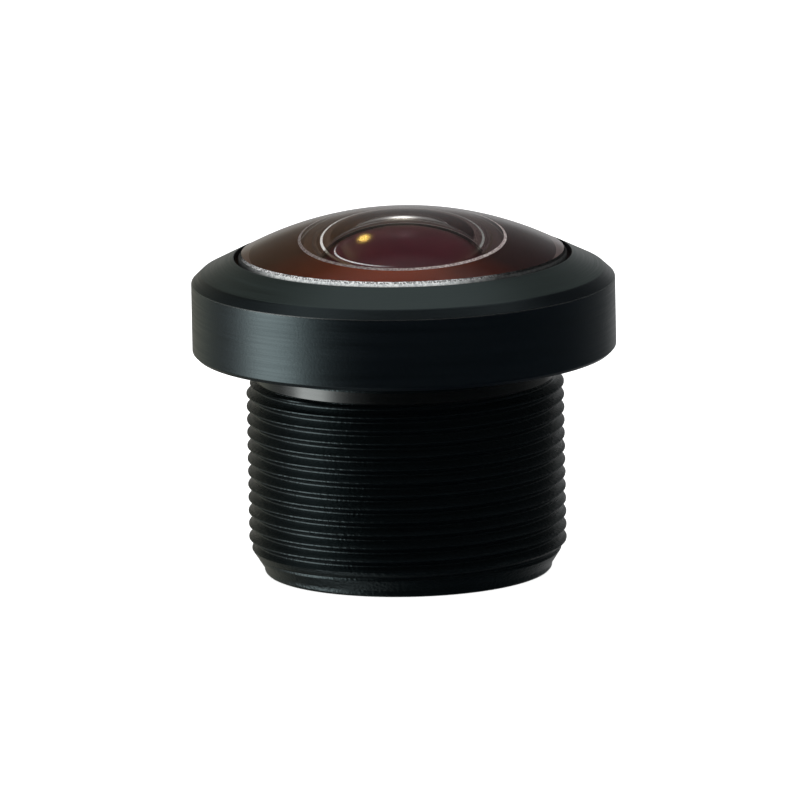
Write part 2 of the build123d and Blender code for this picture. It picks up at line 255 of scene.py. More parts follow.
head_finish = anodised(
    "head_anodised", (0.0005, 0.0012, 0.0027), roughness=0.33, marks_per_mm=30, mark_depth=3.2e-6,
    spread=0.55, level=0.9, pits=0.8)
# painted light: the cone is the same black skin as the head, with a lighter, greener base colour for the
# light it catches from above
cone_painted_light_finish = anodised(
    "cone_anodised_painted_light", (0.013, 0.019, 0.0175), roughness=0.34, marks_per_mm=30, mark_depth=2.4e-6,
    spread=0.6, level=0.9)
thread_finish = anodised(
    "thread_anodised", (0.0005, 0.0012, 0.0017), roughness=0.31, marks_per_mm=26,
    mark_depth=1.6e-6, spread=0.3, level=0.7, pits=14.0)
neck_finish = anodised(
    "neck_anodised", (0.0008, 0.0013, 0.0017), roughness=0.18, marks_per_mm=34,
    mark_depth=0.5e-6, spread=0.2, level=1.0, index=1.6, tint=(0.9, 0.96, 0.94), pits=1.0)
worn_finish = anodised(
    "worn_edge", (0.008, 0.01, 0.01), roughness=0.3, marks_per_mm=20, mark_depth=2.0e-6,
    spread=0.2, level=1.0, index=2.6, tint=(0.9, 0.97, 0.97), pits=3.0)
print("made", head_finish.name, cone_painted_light_finish.name, thread_finish.name, neck_finish.name, worn_finish.name)

# %% [markdown]
# Polished glass with its coatings
#
# Each lens element is clear glass with a coating that takes most of the mirror gloss away
# and leaves a faint colour. Principled glass does this: full transmission, the index of an
# optical glass, and a dark specular tint for the coating. The tint dims the mirror image but
# leaves the pale haze at a grazing angle, which a lower index would lose. The hollow at the
# back of the front element keeps a warm gloss, because the golden spot is mirrored there.
# The second element looks like a cloudy purple disc, because its coatings mirror purple; here that is a
# painted reflection: its glass has a purple body and is a little milky.

# %% Coated glass
def glass_shader(tree, index, body, tint, clearness=1.0, roughness=0.0):
    """body colours what goes through the glass, and tint what its coating mirrors."""
    clear = tree.ramp(tree.noise(0.9), [(0.35, [c * 0.97 for c in body]), (0.65, body)])
    return tree.node(
        "BsdfPrincipled",
        {"Base Color": clear, "Roughness": roughness, "IOR": index, "Transmission Weight": clearness,
         "Specular Tint": (*tint, 1)},
    ).outputs[0]


def coated_glass(name, **look):
    tree = Tree(name)
    return tree.finish(glass_shader(tree, **look))


DENSE_GLASS, LIGHT_GLASS = 1.75, 1.62     # how strongly they bend the light
CLEAR = (0.98, 0.96, 0.95)
# painted reflection: the purple body and the milky share stand in for the purple that the coatings of
# the second element mirror
PAINTED_PURPLE = {"index": LIGHT_GLASS, "body": (0.36, 0.085, 0.115), "tint": (0.03, 0.012, 0.01),
          "clearness": 0.62, "roughness": 0.3}
front_glass = coated_glass(
    "front_coated_glass", index=DENSE_GLASS, body=CLEAR, tint=(0.06, 0.05, 0.06))
hollow_glass = coated_glass(
    "hollow_coated_glass", index=DENSE_GLASS, body=CLEAR, tint=(1.0, 0.85, 0.4))
inner_glass = coated_glass(
    "inner_coated_glass", index=LIGHT_GLASS, body=(0.5, 0.2, 0.28), tint=(0.12, 0.03, 0.05))
purple_glass = coated_glass("purple_coated_glass", **PAINTED_PURPLE)
print("made", front_glass.name, hollow_glass.name, inner_glass.name, purple_glass.name)

# %% [markdown]
# Ground glass, with painted light
#
# The narrow bevels at the rim of the dome and at the rim of its hollow are ground and left matt. They
# look like silver frost with a fine sparkle, and only part of each ring is bright, where light gets to
# it through the glass. Tracing that light would be slow and noisy. So the frost is a rough pale surface
# with grain in its colour and bump, and the light on it is painted: a share round the axis makes each
# ring bright where the light falls and dim elsewhere, in its colour and its gloss, and a faint painted
# glow stands for the light that is caught inside. The same helper draws a pale ring on the flange, which
# is a painted reflection, and a band on the second element, which is a painted highlight. That band lies
# on a polished face, so there it is mixed with the glass.

# %% Frosted bevels with painted light
def round_share(tree, degrees):
    """1 where a place lies at this angle round the axis (0 in front, -90 left), 0 opposite."""
    flat = tree.vector("MULTIPLY", tree.place(), (1, 1, 0))
    unit = tree.vector("NORMALIZE", flat)
    angle = math.radians(degrees)
    facing = tree.vector("DOT_PRODUCT", unit, (math.sin(angle), -math.cos(angle), 0))
    return tree.node("MapRange", {"Value": facing, "From Min": -1, "From Max": 1}).outputs[0]


WHOLE = ((0.0, 1.0), (1.0, 1.0))
FROST_DEPTH = 4e-6


def ground_glass(name, dark, pale, grain_per_mm, brightest=0, painted_light_stops=WHOLE, sparkle=(0.38, 0.62),
                 glow=0.0, under=None):
    """brightest is a place round the axis in degrees, and the list after it gives the painted light from
    the far side (0) to there (1): bright where the light falls, dim elsewhere. glow is a painted glow
    for the light caught inside. under is the polished glass that the frost lies on."""
    tree = Tree(name)
    grain = tree.noise(grain_per_mm, roughness=0.7)
    frost = tree.ramp(grain, [(sparkle[0], dark), (sparkle[1], pale)])
    # painted light: a share round the axis, full where the light falls and low elsewhere, which dims the
    # frost's colour and gloss, or mixes in the glass under it
    painted_light_share = tree.ramp(round_share(tree, brightest), [(at, (share,) * 3) for at, share in painted_light_stops])
    tone = frost
    if under is None:
        tone = tree.vector("MULTIPLY", frost, painted_light_share)
    # the emission is a painted glow
    shader = tree.node(
        "BsdfPrincipled",
        {"Base Color": tone, "Roughness": 0.55, "IOR": 1.5,
         "Specular IOR Level": tree.math("MULTIPLY", painted_light_share, 0.5),
         "Normal": tree.bump(grain, FROST_DEPTH), "Emission Color": tone, "Emission Strength": glow},
    ).outputs[0]
    if under is not None:
        shader = tree.node(
            "MixShader", {0: painted_light_share, 1: glass_shader(tree, **under), 2: shader}).outputs[0]
    return tree.finish(shader)


# painted light: the frost of the dome's bevel is bright at the front left and nearly black round the
# back
dome_frost = ground_glass(
    "dome_bevel_frost", (0.12, 0.12, 0.12), (1.0, 1.0, 1.0), 15, brightest=-24,
    painted_light_stops=((0.0, 0.02), (0.66, 0.02), (0.75, 0.06), (0.82, 0.4), (0.9, 0.9), (1.0, 1.0)),
    sparkle=(0.42, 0.62))
# painted light: the satin strip is bright at the front left and dim elsewhere, with a faint painted glow
dome_satin = ground_glass(
    "dome_bevel_satin", (0.46, 0.49, 0.5), (0.82, 0.85, 0.83), 9, brightest=-18,
    painted_light_stops=((0.0, 0.02), (0.8, 0.06), (0.87, 0.27), (0.93, 0.9), (1.0, 1.0)), glow=0.15)
# painted light: the hollow's bevel is brightest at the right and a little behind, less than half as
# bright opposite, with a painted glow
hollow_frost = ground_glass(
    "hollow_bevel_frost", (0.45, 0.34, 0.34), (1.0, 0.92, 0.9), 12, brightest=105,
    painted_light_stops=((0.0, 0.45), (0.25, 0.5), (0.6, 0.8), (1.0, 1.0)), glow=0.25)
# painted highlight: a pale glowing band on the second element's face, brightest at the left
second_face_highlight = ground_glass(
    "second_face_painted_highlight", (0.7, 0.68, 0.66), (1.0, 1.0, 1.0), 10, brightest=-50,
    painted_light_stops=((0.0, 0.0), (0.85, 0.0), (0.9, 0.25), (0.96, 0.9), (1.0, 1.0)), glow=0.4, under=PAINTED_PURPLE)
# painted reflection: a pale glowing ring on the flange back, brightest at the left, for the crescent
# that the glass would mirror
flange_painted_reflection = ground_glass(
    "flange_painted_reflection", (0.7, 0.7, 0.68), (0.95, 0.95, 0.93), 8, brightest=-82,
    painted_light_stops=((0.0, 0.3), (0.5, 0.3), (0.85, 0.8), (1.0, 1.0)), glow=0.7)
# painted glow: the inner side of the dome's bevel is dull brown and shines faintly, for light coming in
# through the ground glass
inner_bevel = ground_glass(
    "inner_bevel_frost", (0.12, 0.085, 0.07), (0.17, 0.125, 0.1), 8, glow=0.2)
print("made", dome_frost.name, dome_satin.name, hollow_frost.name, second_face_highlight.name)
print("made", flange_painted_reflection.name, inner_bevel.name)

# %% [markdown]
# Ink on the edge of the glass, with painted light
#
# The rim and the flat back of the front element are painted, to stop stray light. Seen through the
# glass, the paint and the cement look a warm brown: olive at the left, purple at the right, and a
# glowing amber in front. That look comes from light and from the coatings' reflections, and here it is
# painted light on a matt surface: its colour runs from the bright left to the dark right, soft clouds
# vary it at random, and a painted amber reflection takes a share towards the front. The outer part of
# the paint is seen by mirroring deep in the glass, where little light gets, so it also shines faintly by
# itself, a painted glow.

# %% Edge ink with painted light
COLOUR_RUN = 0.08                         # painted light: how far the colour goes along its list in a millimetre, from left to right
CLOUD_SHARE, CLOUDS_PER_MM = 0.3, 0.35
MIDDLE_COLOUR = 0.5 - CLOUD_SHARE / 2     # brings the axis to the middle of the list
FRONT_GLOW_AT = -8                        # where the painted amber reflection is strongest, in degrees round the axis


def edge_ink(name, colours, glowing=None, lit=0.0):
    """colours lists (place, colour) from the left to the right, a run of painted light. glowing is the
    colour of a painted amber reflection on the front side, and lit is how strongly the ink shines by
    itself, a painted glow."""
    tree = Tree(name)
    # painted light: the colour runs from the bright left to the dark right
    across = tree.vector("DOT_PRODUCT", tree.place(), (COLOUR_RUN / MM, 0, 0))
    cloud = tree.math("MULTIPLY", tree.noise(CLOUDS_PER_MM, 1.0), CLOUD_SHARE)
    shade = tree.math("ADD", across, cloud)
    tone = tree.ramp(tree.math("ADD", shade, MIDDLE_COLOUR), colours)
    # painted reflection: an amber share towards the front
    if glowing:
        share = tree.ramp(
            round_share(tree, FRONT_GLOW_AT), [(0.7, (0, 0, 0)), (0.9, (0.35,) * 3), (1.0, (1, 1, 1))])
        tone = tree.node("Mix", {0: share, 6: tone, 7: (*glowing, 1)}, data_type="RGBA").outputs[2]
    # the emission is a painted glow
    shader = tree.node(
        "BsdfPrincipled",
        {"Base Color": tone, "Roughness": 0.6, "Specular IOR Level": 0.2, "Emission Color": tone,
         "Emission Strength": lit},
    )
    return tree.finish(shader.outputs[0])


# painted light and a painted amber reflection: olive at the left, dark purple at the right, amber in
# front
rim_ink_and_painted_sheen = edge_ink(
    "rim_ink_and_painted_sheen",
    [(0.0, (0.15, 0.075, 0.034)), (0.5, (0.055, 0.022, 0.016)), (1.0, (0.045, 0.018, 0.023))],
    glowing=(0.34, 0.046, 0.004))
black_ink = edge_ink("black_ink", [(0.0, (0.006, 0.005, 0.005)), (1.0, (0.008, 0.006, 0.006))])
# painted light from left to right, and a painted glow
brown_ink_and_painted_glow = edge_ink("brown_ink_and_painted_glow", [(0.0, (0.17, 0.105, 0.07)), (1.0, (0.145, 0.1, 0.1))], lit=0.2)
print("made", rim_ink_and_painted_sheen.name, black_ink.name, brown_ink_and_painted_glow.name)

# %% [markdown]
# A lathe for meshes
#
# Every piece of this lens is round about one axis, so one helper works like a lathe. It
# takes the half section as rows, each row a radius and a height, and spins them round the
# axis. Blender's screw modifier could do it too, but not for the threads. Here a row may
# also be a whole circle of radii and heights, which is how a thread gets in: its rows climb
# by one pitch in a turn, and join the next turn's rows where the circle closes.

# %% Spin rows into a mesh
COLUMNS = 480
CREASE = math.radians(28)                 # a sharper corner keeps its edge in the shading
MERGE, SLIVER = 2e-7, 1e-7                # metres; rows meet where a thread ends or at the axis
ANGLES = np.linspace(0, 2 * math.pi, COLUMNS + 1)


def spin(name, rows, finishes, closed=True):
    """rows: list of (radius, height, finish number) in millimetres; a finish covers the strip
    from its row to the next one. closed joins the last row to the first."""
    radii = np.array([np.broadcast_to(np.asarray(r, float), ANGLES.shape) for r, _, _ in rows])
    heights = np.array([np.broadcast_to(np.asarray(z, float), ANGLES.shape) for _, z, _ in rows])
    count, wide = radii.shape
    points = np.stack([radii * np.cos(ANGLES), radii * np.sin(ANGLES), heights], -1) * MM
    strips = count if closed else count - 1
    row, column = np.meshgrid(np.arange(strips), np.arange(COLUMNS), indexing="ij")
    above = (row + 1) % count
    corners = np.stack(
        [row * wide + column, row * wide + column + 1, above * wide + column + 1,
         above * wide + column], -1
    ).reshape(-1, 4)
    numbers = np.repeat([finish for _, _, finish in rows][:strips], COLUMNS)
    mesh = bpy.data.meshes.new(name)
    mesh.vertices.add(count * wide)
    mesh.vertices.foreach_set("co", points.reshape(-1))
    mesh.loops.add(corners.size)
    mesh.loops.foreach_set("vertex_index", corners.reshape(-1))
    mesh.polygons.add(len(corners))
    mesh.polygons.foreach_set("loop_start", np.arange(0, corners.size, 4))
    mesh.polygons.foreach_set("material_index", numbers.astype(np.int32))
    mesh.update(calc_edges=True)
    for finish in finishes:
        mesh.materials.append(finish)
    work = bmesh.new()
    work.from_mesh(mesh)
    bmesh.ops.remove_doubles(work, verts=work.verts, dist=MERGE)
    bmesh.ops.dissolve_degenerate(work, edges=work.edges, dist=SLIVER)
    bmesh.ops.recalc_face_normals(work, faces=work.faces)
    for edge in work.edges:
        edge.smooth = edge.calc_face_angle(0) < CREASE
    for face in work.faces:
        face.smooth = True
    work.to_mesh(mesh)
    work.free()
    piece = bpy.data.objects.new(name, mesh)
    bpy.context.scene.collection.objects.link(piece)
    return piece


print("lathe ready with", COLUMNS, "columns")

# %% [markdown]
# Broken edges
#
# No turned edge is perfectly sharp. A tiny round on each corner catches a thin line of
# light, which makes the part look real. A bevel modifier could round them, but it would
# also catch the fine threads. So each corner of the section is replaced by a short curve,
# with one more row on each side to keep the flats flat in the shading.

# %% Round the corners of a section
EASE_STEPS = 3
EASE_MOST = 0.45                          # share of a side that one corner may take at most
HOLD_AT = 1.6                             # the extra row's distance from the corner, in cuts


def eased(points):
    """points: list of (radius, height, ease, finish) of an open section; gives rows for spin()."""
    rows = []
    for i, (r, z, ease, finish) in enumerate(points):
        here = Vector((r, z))
        if ease == 0 or i in (0, len(points) - 1):
            rows.append((r, z, finish))
            continue
        before = Vector(points[i - 1][:2]) - here
        after = Vector(points[i + 1][:2]) - here
        cut = min(ease, before.length * EASE_MOST, after.length * EASE_MOST)
        before.normalize()
        after.normalize()
        start, end = here + before * cut, here + after * cut
        previous = points[i - 1][3]
        rows.append((*(here + before * cut * HOLD_AT), previous))
        for step in range(EASE_STEPS + 1):
            t = step / EASE_STEPS
            p = start * (1 - t) ** 2 + here * 2 * t * (1 - t) + end * t**2
            rows.append((*p, finish if t > 0.4 else previous))
        rows.append((*(here + after * cut * HOLD_AT), finish))
    return rows


print("edge rounding ready")

# %% [markdown]
# Threads
#
# The mounting thread has a pitch of half a millimetre, and the fine ones, between the
# barrel and its two rings, 0.35 mm. Each groove is a V with a flat root, and its crests are
# slightly rounded. A thread could be a tube wound round the barrel, but that leaves seams.
# Here the rows of a thread follow the helix, so its crest is a clean line, and at both ends
# they are held back to the face where the thread stops. The mounting thread also shows the
# chatter of the tool: small nicks along the crests.

# %% Rows that follow a helix
def soft_min(a, b, k):
    """The smaller of two values, with the corner between them rounded over a width k."""
    h = np.maximum(k - np.abs(a - b), 0) / k
    return np.minimum(a, b) - h * h * k / 4


def thread_radius(z, angle, thread):
    """Radius of the thread's surface at a height and angle."""
    pitch = thread["pitch"]
    phase = (z - thread["groove"]) / pitch - angle / (2 * math.pi)
    off = np.abs(phase - np.round(phase)) * pitch
    climb = thread["root"] + np.maximum(off - thread["root_half"], 0) * thread["slope"]
    side = 1 if thread["slope"] > 0 else -1
    return side * soft_min(side * climb, side * thread["crest"], thread["round"])


def thread_rows(thread, low, high, per_turn, finish, upward=True, envelope=None, nicks=None):
    """Rows for spin() from low to high. envelope gives the most that the radius may be at a
    height, and nicks gives what the tool's chatter adds to it."""
    pitch = thread["pitch"]
    turns = math.ceil((high - low) / pitch) + 1
    start = low - pitch * (1 + 0.5 / per_turn)
    rows = []
    for i in range(turns * per_turn + per_turn + 2):
        z = np.clip(start + pitch * (i / per_turn + ANGLES / (2 * math.pi)), low, high)
        r = thread_radius(z, ANGLES, thread)
        if envelope:
            r = soft_min(r, envelope(z), 0.03)
        if nicks:
            r = r + nicks(r, z, ANGLES)
        rows.append((r, z, finish))
    return rows if upward else rows[::-1]


MOUNT_PITCH, FINE_PITCH = 0.5, 0.35
GROOVE_HEIGHT, GROOVE_TURN = 8.06, 130 / 360  # a groove is this high at this part of a turn
FLANKS = math.sqrt(3)                     # the two flanks of a groove stand 60 degrees apart
# groove is the height of a groove at angle 0, root_half is half of the flat at its bottom, and
# round says how soft the crest is. The thread of a hole grows inwards, so its slope is negative.
MOUNT_THREAD = {"pitch": MOUNT_PITCH, "groove": GROOVE_HEIGHT - MOUNT_PITCH * GROOVE_TURN,
                "root": 5.6933, "crest": 6.0, "root_half": MOUNT_PITCH / 12, "slope": FLANKS,
                "round": 0.015}
CAP_THREAD = {"pitch": FINE_PITCH, "groove": 10.185, "root": 7.0353, "crest": 7.25,
              "root_half": FINE_PITCH / 12, "slope": FLANKS, "round": 0.012}
CAP_HOLE_THREAD = {"pitch": FINE_PITCH, "groove": 10.01, "root": 7.29, "crest": 7.11,
                   "root_half": 0.0419, "slope": -FLANKS, "round": 0.012}
RING_HOLE_THREAD = {"pitch": FINE_PITCH, "groove": 1.325, "root": 4.64, "crest": 4.46,
                    "root_half": 0.0419, "slope": -FLANKS, "round": 0.012}
print("thread depth in mm:", round(MOUNT_THREAD["crest"] - MOUNT_THREAD["root"], 3))

# %% [markdown]
# The barrel
#
# The barrel is one turned tube: a plain land and a lead-in cone at the rear, fourteen turns
# of mounting thread, a narrow neck, then the wider part that carries the head. Its bores
# step down from the front and from the rear to the shelf that holds the glass. The CAD node
# has the same shape with sharp edges, so this finer mesh stands for it.

# %% Build the barrel
THREADED, SMOOTH = range(2)
HEAD_FOOT = 8.41                          # underside of the head; heights count from the rear face
LAND_RADIUS, LAND_TOP = 5.45, 0.25
LEAD_WIDTH, LEAD_HEIGHT, LEAD_TOP = 0.55, 0.85, 1.10
RUNOUT_RADIUS, RUNOUT_LOW, RUNOUT_TOP = 5.64, 7.4, 7.42
FREE_SLOPE, RUNOUT_SLOPE = 2, 2.2
NECK_RADIUS, NECK_LOW, NECK_TOP = 5.62, 7.44, 7.87
FRONT_BORE, INNER_BORE, SHELF_BORE = 5.2, 4.3, 3.3
CAP_THREAD_TOP, RING_THREAD_TOP = 10.01, 1.15
GLASS_SEAT = 10.91


def rear_cone(z):
    """The most that the radius may be: a cone at the rear, and the runout below the neck."""
    lead_in = LAND_RADIUS + (z - LAND_TOP) * LEAD_WIDTH / LEAD_HEIGHT
    rear = np.where(z < LEAD_TOP, lead_in, MOUNT_THREAD["crest"] + (z - LEAD_TOP) * FREE_SLOPE)
    return np.minimum(rear, RUNOUT_RADIUS + np.maximum(RUNOUT_LOW - z, 0) * RUNOUT_SLOPE)


NICK_DEPTH = 0.014
NICKS_FROM, NICKS_GROW = 5.85, 0.12       # radius where nicks begin, and over what they grow


def chatter(r, z, angle):
    """Small nicks near the crests, which run along the helix."""
    along = angle * 6.0 + z * 11.0
    beat = np.sin(along * 9.0) * np.sin(along * 5.3 + 1.7) + 0.7 * np.sin(along * 31.0 + z * 3)
    near_crest = np.clip((r - NICKS_FROM) / NICKS_GROW, 0, 1)
    return -NICK_DEPTH * near_crest * np.clip(beat, 0, 1.5)


def turned(points, ease=0.02, finish=THREADED):
    """Corners of a section that share one ease and one finish."""
    return [(r, z, ease, finish) for r, z in points]


barrel_rows = eased(
    [(4.66, 0, 0, THREADED), *turned([(5.34, 0), (5.42, 0.08)], 0.04),
     (LAND_RADIUS, LAND_TOP, 0, THREADED)])
barrel_rows += thread_rows(
    MOUNT_THREAD, LAND_TOP, RUNOUT_TOP, 12, THREADED, envelope=rear_cone, nicks=chatter)
barrel_rows += eased(
    [*turned([(RUNOUT_RADIUS, RUNOUT_TOP), (NECK_RADIUS, NECK_LOW)], 0, SMOOTH),
     (NECK_RADIUS, NECK_TOP, 0, THREADED), (NECK_RADIUS, HEAD_FOOT, 0.05, THREADED),
     (CAP_THREAD["crest"], HEAD_FOOT, 0, THREADED)])[:-1]
barrel_rows += thread_rows(CAP_THREAD, HEAD_FOOT, CAP_THREAD_TOP, 8, THREADED)
barrel_rows += eased(
    [(7.05, CAP_THREAD_TOP, 0, THREADED), (6.9, CAP_THREAD_TOP, 0.02, THREADED),
     (6.9, 10.4, 0.03, THREADED),
     *turned([(6.44, 10.4), (6.44, GLASS_SEAT), (FRONT_BORE, GLASS_SEAT), (FRONT_BORE, 9.4),
              (INNER_BORE, 9.4), (INNER_BORE, 6.7), (SHELF_BORE, 6.7), (SHELF_BORE, 5.9),
              (INNER_BORE, 5.9), (INNER_BORE, 1.5), (4.69, 1.5), (4.69, RING_THREAD_TOP)]),
     (4.62, RING_THREAD_TOP, 0, THREADED)])[1:-1]
barrel_rows += thread_rows(RING_HOLE_THREAD, 0, RING_THREAD_TOP, 6, THREADED, upward=False)
barrel = spin("barrel_tube", barrel_rows, [thread_finish, neck_finish])
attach(barrel, "barrel_group")
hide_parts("barrel")
print("barrel faces:", len(barrel.data.polygons))

# %% [markdown]
# The head ring
#
# The head is a screwed cap: a plain cylinder, a narrow chamfer, then a cone that rises to
# the opening for the glass. Its inside has the matching fine thread and the lip that holds
# the glass down. The worn edge is a narrow strip between the cylinder and the chamfer, with
# a finish of its own.

# %% Build the head ring
PLAIN, CONE, WORN = range(3)
HEAD_RADIUS, OPENING_RADIUS = 8.0, 6.38
LIP_BACK, HOLE_TOP = 11.36, 9.835
head_rows = eased(
    [(7.31, HEAD_FOOT, 0, PLAIN), (7.85, HEAD_FOOT, 0.03, PLAIN), (HEAD_RADIUS, 8.56, 0.03, PLAIN),
     (HEAD_RADIUS, 11.12, 0.02, WORN), (7.985, 11.155, 0.02, PLAIN), (7.64, 11.48, 0.05, CONE),
     (OPENING_RADIUS, 12.11, 0.04, PLAIN), (OPENING_RADIUS, LIP_BACK, 0.03, PLAIN),
     *turned([(6.95, LIP_BACK), (6.95, 10.185), (7.34, 10.185), (7.34, HOLE_TOP)], finish=PLAIN),
     (7.2, HOLE_TOP, 0, PLAIN)])[:-1]
head_rows += thread_rows(CAP_HOLE_THREAD, HEAD_FOOT, HOLE_TOP, 8, PLAIN, upward=False)
head = spin("head_ring", head_rows, [head_finish, cone_painted_light_finish, worn_finish])
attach(head, "front_cap")
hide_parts("front_cap_ring")
print("head faces:", len(head.data.polygons))

# %% [markdown]
# The front glass
#
# The front element is a thick bowl of dense glass: a shallow dome in front, a steep hollow behind, a
# ground bevel round each and an inked flange. Its mesh is one closed solid, so the light bends at the
# dome and again at the hollow, as in the real one, and that bending draws the inked flange and the
# bevels as rings in the dome. The outer bevel is silver from outside and a dull brown through the glass.
# One face can't be both, so the solid has the brown, and the silver lies a hair outside of it on a thin
# ring. Below the bevel this ring is a black skirt, because the gap beside the head is dark. There is
# painted light on the solid and on the ring. The silver ring outside is bright at the front left. The
# brown ink and the inside of the bevel have a painted glow. The warm ink of the flange has painted light
# and a painted amber reflection. A pale glowing ring on the flange back is a painted reflection.

# %% Build the front element
def face_rows(curve, radius, edge_height, bulge, finish, steps=56):
    """Rows of a polished face from its axis out to its edge."""
    centre = edge_height - bulge * math.sqrt(curve**2 - radius**2)
    tilt = math.asin(radius / curve)
    angles = [tilt * i / steps for i in range(steps + 1)]
    return [(curve * math.sin(a), centre + bulge * curve * math.cos(a), finish) for a in angles]


POLISHED, INNER_BEVEL, INK_WITH_PAINTED_SHEEN, INK_WITH_PAINTED_GLOW, HOLLOW_FROST, PAINTED_REFLECTION_RING, HOLLOW = range(7)
DOME_CURVE, DOME_EDGE, DOME_FOOT = 13.1, 6.09, 12.2425
HOLLOW_CURVE, HOLLOW_EDGE, HOLLOW_FOOT = 4.1, 3.3, 11.02
RIM_RADIUS, BEVEL_FOOT = 6.2, 12.08
FLANGE_RADIUS, FLANGE_TOP = 6.85, 11.30
FLANGE_BACK = 10.925                      # a hair above the seat, so that its ink shows
BEVEL_SKIN = 0.012                        # room for the silver ring outside of the solid
RING_SHARE = 0.6                          # how much of that room the ring fills
solid_rim = RIM_RADIUS - BEVEL_SKIN
dome_face = face_rows(DOME_CURVE, DOME_EDGE, DOME_FOOT, 1, POLISHED)
# the outer strip of the dome face takes the bevel's inside, dull brown with a painted glow
dome_face[-1] = (*dome_face[-1][:2], INNER_BEVEL)
hollow_face = face_rows(HOLLOW_CURVE, HOLLOW_EDGE, HOLLOW_FOOT, 1, HOLLOW)
front_rows = dome_face + [
    # the rim and the flange carry brown ink with a painted glow, and the flange inside 5.2 carries warm
    # ink with painted light and a painted amber reflection
    (solid_rim, BEVEL_FOOT, INK_WITH_PAINTED_GLOW), (solid_rim, FLANGE_TOP, INK_WITH_PAINTED_GLOW),
    (FLANGE_RADIUS, FLANGE_TOP, INK_WITH_PAINTED_GLOW), (FLANGE_RADIUS, FLANGE_BACK, INK_WITH_PAINTED_GLOW),
    # the ring from 6.02 to 5.82 on the flange back is a painted reflection
    (6.02, FLANGE_BACK, PAINTED_REFLECTION_RING), (5.82, FLANGE_BACK, INK_WITH_PAINTED_GLOW), (5.2, FLANGE_BACK, INK_WITH_PAINTED_SHEEN),
    (3.375, FLANGE_BACK, HOLLOW_FROST),
] + hollow_face[::-1]
front_piece = spin(
    "front_glass", front_rows,
    [front_glass, inner_bevel, rim_ink_and_painted_sheen, brown_ink_and_painted_glow, hollow_frost, flange_painted_reflection, hollow_glass],
    closed=False)
FROST, SATIN, SHADED = range(3)
SKIRT_TOP, SKIRT_FOOT = 11.95, 11.32
ring_inside = RIM_RADIUS - BEVEL_SKIN * RING_SHARE
bevel_rows = [
    (DOME_EDGE, DOME_FOOT, FROST), (6.15, 12.16, SATIN), (RIM_RADIUS, BEVEL_FOOT, SATIN),
    (RIM_RADIUS, SKIRT_TOP, SHADED), (RIM_RADIUS, SKIRT_FOOT, SHADED),
    (ring_inside, SKIRT_FOOT, SHADED), (ring_inside, 12.076, SATIN)]
bevel_ring = spin("front_glass_bevel", bevel_rows, [dome_frost, dome_satin, black_ink])
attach(bevel_ring, "barrel_group")
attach(front_piece, "barrel_group")
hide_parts("front_element")
print("front glass faces:", len(front_piece.data.polygons), "and", len(bevel_ring.data.polygons))

# %% [markdown]
# The glass behind
#
# Six more elements and a filter lie behind the front one. Only the first few can be seen,
# small and dark through the front glass, but each is a fine mesh with polished curves of
# its own, because a coarse one would break the reflections up. Their edges are inked black.
# The second one is the purple disc in the middle of the dome, and its purple is a painted reflection. A
# thin pale band on its front face, brightest and glowing at the disc's left, is a painted highlight, and
# the flat round that face is brown ink with a painted glow.

# %% Build the inner elements
INNER_ELEMENTS = {
    # node: rim radius, bottom, top, front (curve, radius, bulge), back (curve, radius, bulge)
    "second_element": (5.18, 9.5, 10.08, (6.5, 4.0, 1), (3.2, 2.5, 1)),
    "third_element": (4.28, 7.9, 9.4, (20.0, 3.6, -1), (4.5, 2.3, 1)),
    "fourth_element": (4.28, 6.7, 7.3, (6.0, 3.0, 1), (7.0, 3.0, -1)),
    "fifth_element": (4.28, 4.22, 4.72, (5.5, 2.9, 1), (5.5, 3.0, -1)),
    "sixth_element": (4.28, 3.21, 4.21, (5.51, 3.0, -1), (14.0, 3.4, -1)),
    "seventh_element": (4.28, 1.91, 2.41, (30.0, 3.4, 1), (20.0, 3.3, 1)),
}
CLEAR_FACE, BLACK_EDGE, PAINTED_HIGHLIGHT_BAND, FLAT_WITH_PAINTED_GLOW = range(4)
BAND_FROM, BAND_TO = 2.82, 2.91           # radii of the painted highlight band on the second element
for node, (rim, bottom, top, front, rear) in INNER_ELEMENTS.items():
    second = node == "second_element"
    rows = face_rows(*front[:2], top, front[2], CLEAR_FACE, 64)
    if second:
        rows = [(r, z, PAINTED_HIGHLIGHT_BAND if BAND_FROM < r < BAND_TO else CLEAR_FACE) for r, z, _ in rows]
    rows[-1] = (*rows[-1][:2], FLAT_WITH_PAINTED_GLOW if second else BLACK_EDGE)
    rows += [(rim, top, BLACK_EDGE), (rim, bottom, BLACK_EDGE)]
    rows += face_rows(*rear[:2], bottom, rear[2], CLEAR_FACE, 32)[::-1]
    finishes = [purple_glass if second else inner_glass, black_ink, second_face_highlight, brown_ink_and_painted_glow]
    piece = spin(node.replace("element", "glass"), rows, finishes, closed=False)
    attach(piece, "barrel_group")
    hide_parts(node)
print("inner elements:", len(INNER_ELEMENTS))

# %% [markdown]
# Filter, rings and seals
#
# From behind, the lens shows its infrared filter, a pale blue-green disc with a red sheen, inside the
# slotted retaining ring. The spacers, the stop, the seal and the slip washers keep their CAD shapes,
# which are right, and only get their finishes. All are nearly black but the front spacer: it shows
# through the front glass, where the picture is bronze brown, so it gets a bronze colour, which is a
# painted reflection.

# %% Finish the remaining nodes
SOFT_MARKS = 1e-6                         # depth in metres
DULL_GLOSS = 0.3


